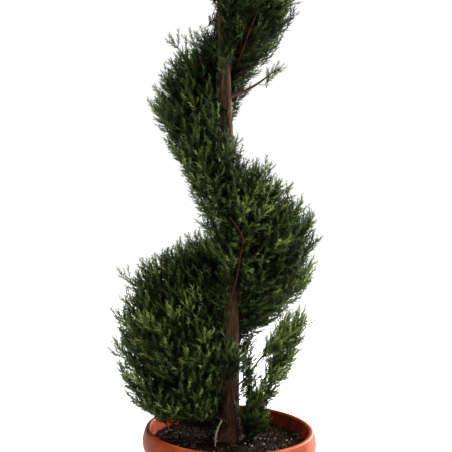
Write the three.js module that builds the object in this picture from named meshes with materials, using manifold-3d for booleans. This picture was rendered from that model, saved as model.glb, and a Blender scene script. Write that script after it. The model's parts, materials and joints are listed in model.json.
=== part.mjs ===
// A clipped juniper grown as a spiral topiary in a terracotta pot.
// Millimetres, +Z up, the origin at the centre of the pot's flat underside. +Y points to the back.
// The foliage is one clipped coil that winds round the trunk, cut into a mass for each quarter turn,
// with separate plumes where the lowest growth stands clear of it.

import * as THREE from 'three';
import { mergeVertices } from 'three/addons/utils/BufferGeometryUtils.js';
import Module from 'manifold-3d';

const wasm = await Module();
wasm.setup();

// Driving dimensions.

const pot = {
  height: 330,
  rimRadius: 190,        // at the widest line of the rolled rim
  rimDrop: 32,           // from the lip's crest down to that line
  collarHeight: 54,      // from the crest down to where the roll meets the wall
  lipThickness: 16,
  wall: 11,
  footRadius: 130,
  floor: 14,
  sides: 48,
};

const soil = {
  depthBelowCrest: 30,   // at the wall
  crown: 6,              // how far the middle stands above that
  clearance: 0.6,
};

const trunk = {
  foot: 306.5,           // the flat cut at ground level
  tip: 1838,
  footRadius: 22,
  taper: 0.75,
  tipRadius: 2.4,
  flare: 9,              // added to the radius at the ground
  flareHeight: 26,
  lean: -0.0365,         // sideways travel in X for each millimetre of height
  offset: -3,
  sway: 5,
  sides: 14,
  steps: 24,
};

const coil = {
  from: -0.69,           // in turns, as in the lobe table
  quarters: 14,          // masses, each a quarter turn
  steps: 7,              // sections in a quarter turn
  seam: 1.2,             // between neighbouring masses
  shaft: 5,              // open space round the trunk, crossed only by the boughs,
  shaftGrowth: 0.3,      // and wider by this share of the trunk's radius
  ripple: 10,            // unevenness of the clipped surface
  steepness: 3,          // how much more a larger copy grows upright, so that steep faces move out too
};

// The coil, lobe by lobe, from the foot to the tip. `turn` counts turns climbed from the broad
// lobe on the right, and the coil climbs clockwise, seen from above. `height` is the level of the
// lobe's widest line and `reach` its distance from the trunk. `rimAbove` and `rimBelow` are the height
// of the clipped outer face over and under that line; `coreAbove` and `coreBelow` are the same beside
// the trunk, where the undersides slope down steeply with the growth of the boughs.
const lobes = [
  { turn: -0.75, height: 425, reach: 104, rimAbove: 40, rimBelow: 50, coreAbove: 60, coreBelow: 104 },
  { turn: -0.5, height: 582, reach: 250, rimAbove: 64, rimBelow: 184, coreAbove: 142, coreBelow: 244 },
  { turn: 0, height: 788, reach: 192, rimAbove: 38, rimBelow: 136, coreAbove: 92, coreBelow: 266 },
  { turn: 0.25, height: 894, reach: 152, rimAbove: 36, rimBelow: 64, coreAbove: 100, coreBelow: 290 },
  { turn: 0.375, height: 956, reach: 152, rimAbove: 46, rimBelow: 34, coreAbove: 124, coreBelow: 250 },
  { turn: 0.5, height: 1018, reach: 168, rimAbove: 54, rimBelow: 26, coreAbove: 138, coreBelow: 172 },
  { turn: 1, height: 1256, reach: 164, rimAbove: 34, rimBelow: 30, coreAbove: 92, coreBelow: 176 },
  { turn: 1.25, height: 1352, reach: 146, rimAbove: 34, rimBelow: 34, coreAbove: 88, coreBelow: 178 },
  { turn: 1.5, height: 1448, reach: 132, rimAbove: 34, rimBelow: 24, coreAbove: 88, coreBelow: 132 },
  { turn: 2, height: 1602, reach: 98, rimAbove: 28, rimBelow: 18, coreAbove: 62, coreBelow: 98 },
  { turn: 2.5, height: 1718, reach: 66, rimAbove: 22, rimBelow: 14, coreAbove: 44, coreBelow: 70 },
  { turn: 3, height: 1792, reach: 34, rimAbove: 14, rimBelow: 10, coreAbove: 24, coreBelow: 34 },
];

// One section of the coil, round from its lowest point beside the trunk. `out` is the share of the
// reach. `slope` runs from 0 beside the trunk to 1 at the rim, over or under the widest line.
const sectionShape = [
  { out: 0, side: 'below', slope: 0 },
  { out: 0.24, side: 'below', slope: 0.12 },
  { out: 0.5, side: 'below', slope: 0.4 },
  { out: 0.76, side: 'below', slope: 0.78 },
  { out: 0.92, side: 'below', slope: 1 },
  { out: 0.99, side: 'below', slope: 1, level: 0.66 },
  { out: 1, side: 'below', slope: 1, level: 0.3 },
  { out: 1, side: 'above', slope: 1, level: 0.3 },
  { out: 0.97, side: 'above', slope: 1, level: 0.8 },
  { out: 0.86, side: 'above', slope: 0.92 },
  { out: 0.62, side: 'above', slope: 0.5 },
  { out: 0.32, side: 'above', slope: 0.14 },
  { out: 0, side: 'above', slope: 0 },
];

// Growth that stands clear of the coil. `angle` is in degrees from +X, seen from above, `at` gives the
// distance from the trunk and the height of each point of its middle line, and `radius` its fullness.
const plumes = [
  { name: 'plume_foot', angle: -20, at: [[52, 322], [60, 364], [72, 412]], radius: [16, 30, 17] },
  { name: 'plume_fan', angle: -24, at: [[40, 404], [44, 444], [46, 492]], radius: [9, 18, 9] },
  { name: 'plume_right', angle: -6, at: [[88, 416], [122, 490], [160, 606]], radius: [20, 30, 13] },
  { name: 'plume_gap', angle: -10, at: [[82, 500], [102, 528], [122, 552]], radius: [7, 13, 8] },
  { name: 'plume_front', angle: -84, at: [[42, 452], [56, 494], [60, 540]], radius: [10, 19, 8] },
  { name: 'plume_mid_front', angle: -100, at: [[36, 600], [43, 636], [45, 676]], radius: [8, 19, 9] },
  { name: 'plume_high_front', angle: -82, at: [[28, 1088], [36, 1150], [34, 1214]], radius: [8, 16, 8] },
  { name: 'plume_spur', angle: 4, at: [[90, 1092], [108, 1106], [128, 1120]], radius: [5, 8, 4] },
];

// Boughs out of the trunk, where a clear stretch of them shows. `angle` is as above, `from` the height
// where they leave the trunk, and `to` the distance and height that they head for, inside a mass.
const boughs = [
  { name: 'bough_spur', angle: 4, from: 1044, to: [96, 1096], radius: 4.5 },
  { name: 'bough_foot', angle: -20, from: 312, to: [54, 352], radius: 6 },
  { name: 'bough_gap', angle: -10, from: 452, to: [90, 508], radius: 4 },
  { name: 'bough_low_right', angle: -6, from: 346, to: [108, 456], radius: 6.5 },
  { name: 'bough_fan', angle: -24, from: 384, to: [44, 430], radius: 4.5 },
  { name: 'bough_mid_front', angle: -100, from: 578, to: [42, 622], radius: 4.5 },
  { name: 'bough_high_front', angle: -82, from: 1068, to: [34, 1110], radius: 3.5 },
  { name: 'bough_low_front', angle: -84, from: 430, to: [54, 480], radius: 4.5 },
];

const limb = {
  gap: 0.4,              // between a limb and the trunk or a mass
  rise: 0.95,            // the height that a bough gains for its distance out
  share: 0.3,            // a bough's radius as a share of the trunk's
  taper: 0.45,
  sides: 8,
  steps: 6,
};

const leader = { from: 1776, top: 1872, radius: 15 };

// Materials.

const material = (name, color, roughness) =>
  Object.assign(new THREE.MeshStandardMaterial({ color, roughness, metalness: 0 }), { name });
const clay = material('terracotta', 0xb5673f, 0.75);
const compost = material('potting_soil', 0x2a1f18, 0.95);
const bark = material('bark', 0x5a4632, 0.9);
const needles = material('juniper_foliage', 0x37421f, 0.9);

const group = new THREE.Group();
const solids = {};

// Solids and meshes.

function toSolid(geometry) {
  const bare = geometry.clone();
  bare.deleteAttribute('normal');
  bare.deleteAttribute('uv');
  const merged = mergeVertices(bare, 1e-3);
  const mesh = new wasm.Mesh({
    numProp: 3,
    vertProperties: merged.attributes.position.array,
    triVerts: new Uint32Array(merged.index.array),
  });
  return new wasm.Manifold(mesh);
}

function toGeometry(solid) {
  const mesh = solid.getMesh();
  const geometry = new THREE.BufferGeometry();
  geometry.setAttribute('position', new THREE.BufferAttribute(mesh.vertProperties, 3));
  geometry.setIndex(new THREE.BufferAttribute(mesh.triVerts, 1));
  geometry.computeVertexNormals();
  return geometry;
}

function addPart(name, solid, finish) {
  const mesh = new THREE.Mesh(toGeometry(solid), finish);
  mesh.name = name;
  group.add(mesh);
  solids[name] = solid;
}

// Closes rings of points (all of one length) into a solid, with a flat cap on each end.
function loft(rings) {
  const count = rings[0].length;
  const positions = rings.flat().flatMap((p) => [p.x, p.y, p.z]);
  const faces = [];
  for (let i = 0; i < rings.length - 1; i++) {
    for (let j = 0; j < count; j++) {
      const a = i * count + j;
      const b = i * count + ((j + 1) % count);
      faces.push(a, b, b + count, a, b + count, a + count);
    }
  }
  const last = (rings.length - 1) * count;
  const capFaces = (ring) => {
    const flat = ring.map((p) => p.clone());
    const middle = flat.reduce((s, p) => s.add(p), new THREE.Vector3()).divideScalar(count);
    const axisU = flat[0].clone().sub(middle).normalize();
    const normal = new THREE.Vector3();
    flat.forEach((p, k) => {
      const next = flat[(k + 1) % count];
      normal.add(p.clone().sub(middle).cross(next.clone().sub(middle)));
    });
    const axisV = normal.normalize().clone().cross(axisU);
    const outline = flat.map((p) => {
      const from = p.clone().sub(middle);
      return new THREE.Vector2(from.dot(axisU), from.dot(axisV));
    });
    return THREE.ShapeUtils.triangulateShape(outline, []);
  };
  for (const [a, b, c] of capFaces(rings[0])) faces.push(a, c, b);
  for (const [a, b, c] of capFaces(rings.at(-1))) faces.push(last + a, last + b, last + c);
  const geometry = new THREE.BufferGeometry();
  geometry.setAttribute('position', new THREE.Float32BufferAttribute(positions, 3));
  geometry.setIndex(faces);
  const solid = toSolid(geometry);
  return solid.volume() > 0 ? solid : toSolid(flipped(geometry));
}

function flipped(geometry) {
  const index = [...geometry.index.array];
  for (let i = 0; i < index.length; i += 3) {
    [index[i + 1], index[i + 2]] = [index[i + 2], index[i + 1]];
  }
  geometry.setIndex(index);
  return geometry;
}

// A round body turned about the Z axis from points (radius, height).
function turned(profile, sides) {
  const points = profile.map(([r, z]) => new THREE.Vector2(r, z));
  const geometry = new THREE.LatheGeometry(points, sides);
  geometry.rotateX(Math.PI / 2);
  const solid = toSolid(geometry);
  return solid.volume() > 0 ? solid : toSolid(flipped(geometry.toNonIndexed()));
}

// Shared rules.

const mix = THREE.MathUtils.lerp;
const vector = (x, y, z) => new THREE.Vector3(x, y, z);

// A smooth uneven value between -1 and 1, the same for the same place.
function uneven(a, b) {
  return (
    0.5 * Math.sin(2.3 * a + 1.7 * Math.sin(b)) +
    0.3 * Math.sin(5.1 * a - 2.2 * b + 1.3) +
    0.2 * Math.sin(9.7 * a + 4.1 * b + 0.4)
  );
}

function trunkShare(z) {
  return THREE.MathUtils.clamp((z - trunk.foot) / (trunk.tip - trunk.foot), 0, 1);
}

function trunkRadius(z) {
  const flare = trunk.flare * Math.exp(-Math.max(0, z - trunk.foot) / trunk.flareHeight);
  return Math.max(trunk.tipRadius, trunk.footRadius * (1 - trunkShare(z)) ** trunk.taper + flare);
}

function trunkAxis(z) {
  const share = trunkShare(z);
  const x = trunk.offset + trunk.lean * (z - trunk.foot) + trunk.sway * Math.sin(7 * share);
  return vector(x, trunk.sway * Math.sin(5 * share), z);
}

// The lobe table at any turn, by smooth interpolation.
function lobeAt(turn) {
  const next = Math.max(1, lobes.findIndex((lobe) => lobe.turn > turn));
  const high = lobes[next];
  const low = lobes[next - 1];
  const share = THREE.MathUtils.clamp((turn - low.turn) / (high.turn - low.turn), 0, 1);
  const smooth = share * share * (3 - 2 * share);
  const lobe = {};
  for (const key of Object.keys(low)) lobe[key] = mix(low[key], high[key], smooth);
  lobe.height = mix(low.height, high.height, share);
  return lobe;
}

const angleAt = (turn) => -2 * Math.PI * turn;

// One section through the coil, in the upright half plane at `turn`, `grow` larger all round.
function coilSection(turn, grow) {
  const lobe = lobeAt(turn);
  const angle = angleAt(turn);
  return sectionShape.map(({ out, side, slope, level = 1 }, k) => {
    const above = side === 'above';
    const core = above ? lobe.coreAbove : lobe.coreBelow;
    const rim = above ? lobe.rimAbove : lobe.rimBelow;
    const sign = above ? 1 : -1;
    const wave = lobe.reach > 100 ? coil.ripple : coil.ripple * (lobe.reach / 100);
    const drop = sign * (mix(core, rim, slope) * level + coil.steepness * grow);
    const z = lobe.height + drop + out * wave * uneven(angle * 1.7, k + 2);
    const inner = trunkRadius(z) * (1 + coil.shaftGrowth) + coil.shaft - grow;
    const full = lobe.reach + grow + wave * uneven(angle * 2.1 + 0.3, k * 1.9);
    const centre = trunkAxis(z);
    const r = mix(inner, full, out);
    return vector(centre.x + r * Math.cos(angle), centre.y + r * Math.sin(angle), z);
  });
}

// The mass of foliage of one quarter turn of the coil.
function coilMass(from, grow = 0) {
  const rings = [];
  const middle = lobeAt(from + 0.125);
  const halfSeam = (coil.seam / 2 - grow) / (2 * Math.PI * (trunk.footRadius + 0.3 * middle.reach));
  for (let i = 0; i <= coil.steps; i++) {
    rings.push(coilSection(mix(from + halfSeam, from + 0.25 - halfSeam, i / coil.steps), grow));
  }
  return loft(rings);
}

// A round limb or plume along a curve, with a radius for each share of its length.
function swept(points, radiusAt, sides, steps, squash = 1) {
  const curve = new THREE.CatmullRomCurve3(points);
  const frames = curve.computeFrenetFrames(steps);
  const rings = [];
  for (let i = 0; i <= steps; i++) {
    const share = i / steps;
    const centre = curve.getPointAt(share);
    const radius = radiusAt(share);
    const ring = [];
    for (let j = 0; j < sides; j++) {
      const a = (2 * Math.PI * j) / sides;
      const across = frames.normals[i].clone().multiplyScalar(radius * Math.cos(a));
      const along = frames.binormals[i].clone().multiplyScalar(radius * squash * Math.sin(a));
      ring.push(centre.clone().add(across).add(along));
    }
    rings.push(ring);
  }
  return loft(rings);
}

// Parts.

function makePot() {
  const { height, rimRadius, rimDrop, collarHeight, lipThickness, wall, footRadius, floor } = pot;
  const crest = rimRadius - 9;
  const collarFoot = height - collarHeight;
  const wallTop = rimRadius - 12;
  const profile = [
    [0, 0],
    [footRadius - 4, 0],
    [footRadius, 5],
    [wallTop, collarFoot],
    [rimRadius - 3, height - rimDrop - 10],
    [rimRadius, height - rimDrop],
    [rimRadius - 2.5, height - 14],
    [crest, height - 3],
    [crest - 4, height],
    [crest - lipThickness / 2, height - 1],
    [crest - lipThickness / 2 - 1, height - 6],
    [wallTop - wall, collarFoot],
    [footRadius - wall, floor],
    [0, floor],
  ];
  addPart('pot', turned(profile, pot.sides), clay);
}

// The inside radius of the pot at a height, on the straight part of the wall and up to the lip.
function potInside(z) {
  const collarFoot = pot.height - pot.collarHeight;
  const atCollar = pot.rimRadius - 12 - pot.wall;
  const atLip = pot.rimRadius - 9 - pot.lipThickness / 2 - 1;
  return z < collarFoot
    ? mix(pot.footRadius - pot.wall, atCollar, (z - pot.floor) / (collarFoot - pot.floor))
    : mix(atCollar, atLip, (z - collarFoot) / (pot.collarHeight - 6));
}

function makeSoil() {
  const edge = pot.height - soil.depthBelowCrest;
  const gap = soil.clearance;
  const roundWall = Math.cos(Math.PI / pot.sides);
  const fitted = (z) => potInside(z) * roundWall - gap;
  const collarFoot = pot.height - pot.collarHeight;
  const top = edge + soil.crown;
  const profile = [
    [0, pot.floor + gap],
    [fitted(pot.floor + gap), pot.floor + gap],
    [fitted(collarFoot), collarFoot],
    [fitted(edge), edge],
    [fitted(edge) - 40, edge + 2],
    [90, edge + 4],
    [48, top],
    [0, top],
  ];
  addPart('soil', turned(profile, pot.sides), compost);
}

function trunkSolid(grow) {
  const rings = [];
  for (let i = 0; i <= trunk.steps; i++) {
    const share = i / trunk.steps;
    const z = mix(trunk.foot, trunk.tip, share ** 1.25);
    const radius = trunkRadius(z) + grow;
    const centre = trunkAxis(z);
    const ring = [];
    for (let j = 0; j < trunk.sides; j++) {
      const a = (2 * Math.PI * j) / trunk.sides;
      const fluted = radius * (1 + 0.05 * Math.sin(3 * a + 4 * share) + 0.03 * Math.sin(5 * a));
      ring.push(vector(centre.x + fluted * Math.cos(a), centre.y + fluted * Math.sin(a), z));
    }
    rings.push(ring);
  }
  return loft(rings);
}

// A point at a distance from the trunk's middle line, at a height.
function beside(angle, distance, z) {
  const centre = trunkAxis(z);
  return vector(centre.x + distance * Math.cos(angle), centre.y + distance * Math.sin(angle), z);
}

// A limb from inside the trunk towards a point, curving upwards, cut off clear of trunk and mass.
function limbSolid(angle, from, to, radius, masses) {
  const [distance, height] = to;
  const middle = beside(angle, distance * 0.55, mix(from, height, 0.42));
  const points = [beside(angle, 0, from), middle, beside(angle, distance, height)];
  const radiusAt = (share) => radius * (1 - limb.taper * share);
  let solid = swept(points, radiusAt, limb.sides, limb.steps).subtract(trunkSolid(limb.gap));
  for (const mass of masses) solid = solid.subtract(mass);
  const nearness = (piece) => {
    const box = piece.boundingBox();
    return Math.hypot(
      (box.min[0] + box.max[0]) / 2 - trunkAxis(from).x,
      (box.min[1] + box.max[1]) / 2 - trunkAxis(from).y,
    );
  };
  return solid.decompose().sort((a, b) => nearness(a) - nearness(b))[0];
}

const compass = ['right', 'front', 'left', 'back'];
const sideOf = (turn) => compass[Math.round(turn * 4 + 8) % 4];
const quarterStart = (q) => coil.from + q / 4;

function makeCoil() {
  for (let q = 0; q < coil.quarters; q++) {
    const number = String(q + 1).padStart(2, '0');
    addPart(`mass_${number}_${sideOf(quarterStart(q) + 0.125)}`, coilMass(quarterStart(q)), needles);
  }
}

// A bough in the middle of each quarter turn, from the trunk to the mass round it.
function makeCoilBoughs() {
  for (let q = 0; q < coil.quarters; q++) {
    const turn = quarterStart(q) + 0.125;
    const lobe = lobeAt(turn);
    const number = String(q + 1).padStart(2, '0');
    const low = mix(lobe.height - lobe.coreBelow, lobe.height + lobe.coreAbove, 0.3);
    const distance = 0.6 * lobe.reach;
    const top = [distance, low + limb.rise * distance];
    const radius = Math.max(2.2, limb.share * trunkRadius(low));
    const masses = [coilMass(quarterStart(q), limb.gap)];
    addPart(`bough_${number}_${sideOf(turn)}`, limbSolid(angleAt(turn), low, top, radius, masses), bark);
  }
}

function plumeSolid({ angle, at, radius }, grow) {
  const turned = THREE.MathUtils.degToRad(angle);
  const points = at.map(([distance, z]) => beside(turned, distance, z));
  const [first, middle, last] = radius;
  const radiusAt = (share) => {
    const smooth = Math.sin(Math.PI * share);
    const ends = mix(first, last, share);
    return (mix(ends, middle, smooth) + grow) * (1 + 0.14 * uneven(share * 3, first));
  };
  return swept(points, radiusAt, 9, 7);
}

const largest = (solid) => solid.decompose().sort((a, b) => b.volume() - a.volume())[0];

function makePlumes() {
  for (const [k, plume] of plumes.entries()) {
    let solid = plumeSolid(plume, 0).subtract(trunkSolid(limb.gap));
    for (let q = 0; q < coil.quarters; q++) {
      solid = solid.subtract(coilMass(quarterStart(q), limb.gap));
    }
    for (const earlier of plumes.slice(0, k)) {
      solid = solid.subtract(plumeSolid(earlier, limb.gap));
    }
    addPart(plume.name, largest(solid), needles);
  }
  for (const { name, angle, from, to, radius } of boughs) {
    const masses = plumes.map((plume) => plumeSolid(plume, limb.gap));
    addPart(name, limbSolid(THREE.MathUtils.degToRad(angle), from, to, radius, masses), bark);
  }
}

// The leading shoot's plume, round the tip of the trunk.
function makeLeader() {
  const heights = [leader.from, mix(leader.from, leader.top, 0.4), leader.top];
  const points = heights.map((z) => beside(0, 0, z));
  const radiusAt = (share) => leader.radius * (1 - 0.86 * share ** 1.6);
  const below = coilMass(quarterStart(coil.quarters - 1), limb.gap);
  const solid = swept(points, radiusAt, 10, 7).subtract(trunkSolid(1)).subtract(below);
  addPart('leader', largest(solid), needles);
}

makePot();
makeSoil();
addPart('trunk', trunkSolid(0), bark);
makeCoil();
makeCoilBoughs();
makePlumes();
makeLeader();

export default group;
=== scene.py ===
import json
import math

import bpy
import numpy as np
from mathutils import Matrix, Vector, noise
from mathutils.bvhtree import BVHTree

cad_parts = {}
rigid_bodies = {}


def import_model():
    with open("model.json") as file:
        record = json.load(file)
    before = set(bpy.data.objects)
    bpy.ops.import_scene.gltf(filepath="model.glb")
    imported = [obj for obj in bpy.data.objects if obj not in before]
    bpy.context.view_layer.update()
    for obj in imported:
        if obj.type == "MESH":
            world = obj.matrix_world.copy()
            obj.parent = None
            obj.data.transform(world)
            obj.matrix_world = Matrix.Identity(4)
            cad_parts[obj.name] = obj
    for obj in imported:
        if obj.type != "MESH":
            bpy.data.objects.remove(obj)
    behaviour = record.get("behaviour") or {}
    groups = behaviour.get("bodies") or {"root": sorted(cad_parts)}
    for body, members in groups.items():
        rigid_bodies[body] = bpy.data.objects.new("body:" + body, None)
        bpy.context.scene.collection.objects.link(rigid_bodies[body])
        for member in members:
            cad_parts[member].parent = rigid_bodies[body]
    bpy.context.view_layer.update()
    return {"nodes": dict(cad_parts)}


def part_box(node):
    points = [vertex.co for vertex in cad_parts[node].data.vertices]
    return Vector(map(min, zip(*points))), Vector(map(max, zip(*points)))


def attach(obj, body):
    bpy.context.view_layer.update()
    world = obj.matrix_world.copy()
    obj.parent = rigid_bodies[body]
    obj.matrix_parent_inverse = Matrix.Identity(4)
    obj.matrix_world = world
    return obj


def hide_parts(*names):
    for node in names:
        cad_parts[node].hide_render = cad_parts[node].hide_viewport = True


# A clipped juniper spiral in a terracotta pot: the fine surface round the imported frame, in metres.
# The plant grows by a seeded rule: boughs and twigs run from the trunk to the clipped surface of
# each mass, shoots stand on them, and feathery sprays of scale leaves stand on the shoots.

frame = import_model()
mm = 0.001
up = np.array([0.0, 0.0, 1.0])


def linear(hexColour):
    parts = [int(hexColour[i:i + 2], 16) / 255 for i in (1, 3, 5)]
    return [c / 12.92 if c <= 0.04045 else ((c + 0.055) / 1.055) ** 2.4 for c in parts] + [1.0]


def addNode(tree, kind, settings=None, links=None):
    # settings name either a property of the node or one of its sockets
    made = tree.nodes.new(kind)
    for name, value in (settings or {}).items():
        if isinstance(name, str) and hasattr(made, name):
            setattr(made, name, value)
        else:
            made.inputs[name].default_value = value
    for socket, source in (links or {}).items():
        tree.links.new(source, made.inputs[socket])
    return made


def unit(v):
    v = np.asarray(v, float)
    return v / np.maximum(np.linalg.norm(v, axis=-1, keepdims=True), 1e-9)


def mix(a, b, share):
    return a + (b - a) * share


def turnsOf(sides):
    return [2 * math.pi * k / sides for k in range(sides)]


def arcLengths(line):
    return np.concatenate([[0], np.cumsum(np.linalg.norm(np.diff(line, axis=0), axis=1))])


def alongLine(line, arc, at):
    return np.stack([np.interp(at, arc, line[:, c]) for c in range(3)], axis=-1)


def newObject(name, data, home=None):
    made = bpy.data.objects.new(name, data)
    if home is None:
        home = bpy.context.scene.collection
    home.objects.link(made)
    return made


def meshObject(name, points, faces, smooth=True, edges=(), home=None):
    mesh = bpy.data.meshes.new(name)
    mesh.from_pydata([tuple(p) for p in points], edges, [tuple(f) for f in faces])
    mesh.update()
    if smooth:
        mesh.shade_smooth()
    return newObject(name, mesh, home)


def finishPiece(piece, material=None, replaced=()):
    if material:
        piece.data.materials.clear()
        piece.data.materials.append(material)
    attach(piece, "root")
    if replaced:
        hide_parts(*replaced)
    return piece


# What the frame says.

def nodeMesh(name):
    mesh = frame["nodes"][name].data
    points = np.empty(len(mesh.vertices) * 3, np.float32)
    mesh.vertices.foreach_get("co", points)
    mesh.calc_loop_triangles()
    faces = np.empty(len(mesh.loop_triangles) * 3, np.int32)
    mesh.loop_triangles.foreach_get("vertices", faces)
    return points.reshape(-1, 3).astype(float), faces.reshape(-1, 3)


massNames = sorted(name for name in frame["nodes"] if name.startswith(("mass_", "plume_", "leader")))
boughNames = sorted(name for name in frame["nodes"] if name.startswith("bough_"))


def trunkLevels():
    # middle and radius of each ring of the CAD trunk
    points, _ = nodeMesh("trunk")
    heights = np.unique(np.round(points[:, 2], 4))
    rings = [points[np.abs(points[:, 2] - z) < 2e-4] for z in heights]
    middles = np.array([(ring.min(0) + ring.max(0)) / 2 for ring in rings])
    radii = [np.linalg.norm(ring[:, :2] - middle[:2], axis=1).mean()
             for ring, middle in zip(rings, middles)]
    return middles, np.array(radii)


trunkMiddles, trunkRadii = trunkLevels()
soilLevel, trunkTip = trunkMiddles[0, 2], trunkMiddles[-1, 2]


def trunkCentre(z):
    x, y = (np.interp(z, trunkMiddles[:, 2], trunkMiddles[:, c]) for c in range(2))
    return np.stack([x, y, np.asarray(z, float)], axis=-1)


def trunkRadius(z):
    return np.interp(z, trunkMiddles[:, 2], trunkRadii)


def outwardAt(points):
    away = points - trunkCentre(points[..., 2])
    away[..., 2] = 0
    return unit(away), np.linalg.norm(away, axis=-1)


def searchTree(points, faces):
    return BVHTree.FromPolygons([Vector(p) for p in points], [tuple(int(i) for i in f) for f in faces])


class Masses:
    # every foliage solid, with one search tree for all faces and one for those on the outside

    seam = 9 * mm             # a face with its neighbour this near is no outer face
    trunkGap = 30 * mm        # nor is one that looks at the trunk from this near

    def __init__(self, names):
        self.parts = {name: nodeMesh(name) for name in names}
        starts = np.cumsum([0] + [len(points) for points, _ in self.parts.values()])
        points = np.concatenate([points for points, _ in self.parts.values()])
        faces = np.concatenate([faces + start for (_, faces), start in zip(self.parts.values(), starts)])
        self.tree = searchTree(points, faces)
        a, b, c = (points[faces[:, k]] for k in range(3))
        middles, normals = (a + b + c) / 3, unit(np.cross(b - a, c - a))
        outer = [self.isOuter(middle, normal) for middle, normal in zip(middles, normals)]
        self.skin = searchTree(points, faces[np.array(outer)])

    def isOuter(self, place, normal):
        outward, distance = outwardAt(place)
        facesTrunk = np.dot(normal, outward) < -0.5 and distance < trunkRadius(place[2]) + self.trunkGap
        if facesTrunk:
            return False
        start = Vector(place + normal * 0.1 * mm)
        return self.tree.ray_cast(start, Vector(normal), self.seam)[0] is None

    def holds(self, point):
        # whether a point lies in one of the solids, by counting the faces over it
        crossings, start = 0, Vector(point)
        while True:
            place, _, _, _ = self.tree.ray_cast(start, Vector((0.0, 0.02, 1.0)))
            if place is None:
                return crossings % 2 == 1
            crossings += 1
            start = place + Vector((0.0, 0.0, 0.02 * mm))

    def depth(self, point):
        # how far a point lies inside the clipped surface, negative outside
        if self.holds(point):
            return self.skin.find_nearest(Vector(point))[3]
        return -self.tree.find_nearest(Vector(point))[3]


masses = Masses(massNames)
print("frame read:", len(massNames), "masses,", len(boughNames), "boughs")


# Where the shoots stand.

growth = {
    "seed": 11,
    "spacing": 29 * mm,       # between the tips of neighbouring shoots on the clipped surface
    "uneven": 24 * mm,        # how far under the clipped surface a shoot may end
    "inner": 0.85,            # inner shoots for each one at the surface
    "innerDepth": (28 * mm, 95 * mm),
    "whips": 0.15,            # share of the shoots that have outgrown the last clipping
    "looseWhips": 0.25,
    "whipReach": (8 * mm, 28 * mm),
    "crestReach": 46 * mm,    # the same on the crests listed below
    "crestSlope": 0.45,       # least upward share of a crest's normal
    "length": (85 * mm, 130 * mm),
    "steps": 7,               # points along a shoot
    "trunkGap": 5 * mm,       # a shoot stops this far from the trunk
    "bareRoot": 4 * mm,       # and where it would leave the foliage by this much
    "outward": 0.42,          # a tip's heading: shares of outwards, up and the face's normal,
    "up": (0.95, 0.4),        # the last two on an upper face and on an overhanging one
    "normal": (0.34, 0.6),
    "wander": 0.16,
    "looseReach": 0.5,        # whips and unevenness of the growth below, as shares of the rest's
    "looseUneven": 0.2,
}
looseMasses = {               # growth that stands clear: spacing, shoot length, spray size, tint shift (darker below 0, brighter above)
    "plume_foot": (17 * mm, 62 * mm, 1.0, -0.5),
    "plume_fan": (19 * mm, 62 * mm, 0.9, -0.2),
    "plume_right": (24 * mm, 85 * mm, 1.0, 0.4),
    "plume_gap": (20 * mm, 55 * mm, 0.8, 0.5),
    "plume_front": (22 * mm, 62 * mm, 1.0, -0.7),
    "plume_mid_front": (19 * mm, 50 * mm, 0.9, -0.6),
    "plume_high_front": (20 * mm, 50 * mm, 0.8, -0.6),
    "plume_spur": (20 * mm, 45 * mm, 0.6, 0.5),
    "leader": (9 * mm, 45 * mm, 0.9, 0.4),
    # painted shade: the trunk's own tufts get a much darker tint for the shade between the low masses
    "trunk": (None, None, 0.75, -1.1),
}
trunkTufts = {                # short shoots on the trunk's own bark, in the shade between the low masses
    "count": 34,
    "heights": (350 * mm, 625 * mm),
    "angles": (math.radians(150), math.radians(258)),
    "length": (32 * mm, 60 * mm),
}
tallCrests = ("mass_02_back", "mass_03_right", "mass_05_left", "mass_06_back")
random = np.random.default_rng(growth["seed"])


def spreadTips(name, spacing):
    # evenly spread points with normals on the outer faces of one mass
    points, faces = masses.parts[name]
    a, b, c = (points[faces[:, k]] for k in range(3))
    cross = np.cross(b - a, c - a)
    area = np.linalg.norm(cross, axis=1) / 2
    normals = unit(cross)
    tries = int(area.sum() / spacing ** 2 * 9) + 20
    picked = random.choice(len(faces), tries, p=area / area.sum())
    u, v = random.random((2, tries, 1))
    u, v = np.where(u + v > 1, 1 - u, u), np.where(u + v > 1, 1 - v, v)
    places = a[picked] + u * (b - a)[picked] + v * (c - a)[picked]
    kept, keptNormals = [], []
    for place, normal in zip(places, normals[picked]):
        if kept and np.min(np.sum((np.array(kept) - place) ** 2, axis=1)) < spacing ** 2:
            continue
        if not masses.isOuter(place, normal):
            continue
        kept.append(place)
        keptNormals.append(normal)
    return np.array(kept), np.array(keptNormals)


def tipDirection(place, normal):
    outward, _ = outwardAt(place)
    wander = random.normal(0, growth["wander"], 3)
    under = float(np.interp(normal[2], [-0.75, 0.0], [1.0, 0.0]))  # 1 on an overhanging face
    rising, facing = mix(*growth["up"], under), mix(*growth["normal"], under)
    heading = growth["outward"] * outward + rising * up + facing * normal + wander
    heading[2] = max(heading[2], 0.02)
    return unit(heading)


def shootLine(tip, direction, length):
    # traced back from the tip: a shoot leaves its bough flat and turns upwards
    steps = growth["steps"]
    outward, _ = outwardAt(tip)
    flat = unit(0.9 * outward + 0.35 * up + 0.5 * direction)
    line = [tip]
    for i in range(1, steps):
        heading = unit(mix(direction, flat, i / (steps - 1)))
        point = line[-1] - heading * length / (steps - 1)
        _, distance = outwardAt(point)
        if distance < trunkRadius(point[2]) + growth["trunkGap"]:
            break
        if i > 3 and masses.depth(point) < -growth["bareRoot"]:
            break
        line.append(point)
    return np.array(line[::-1])


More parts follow.
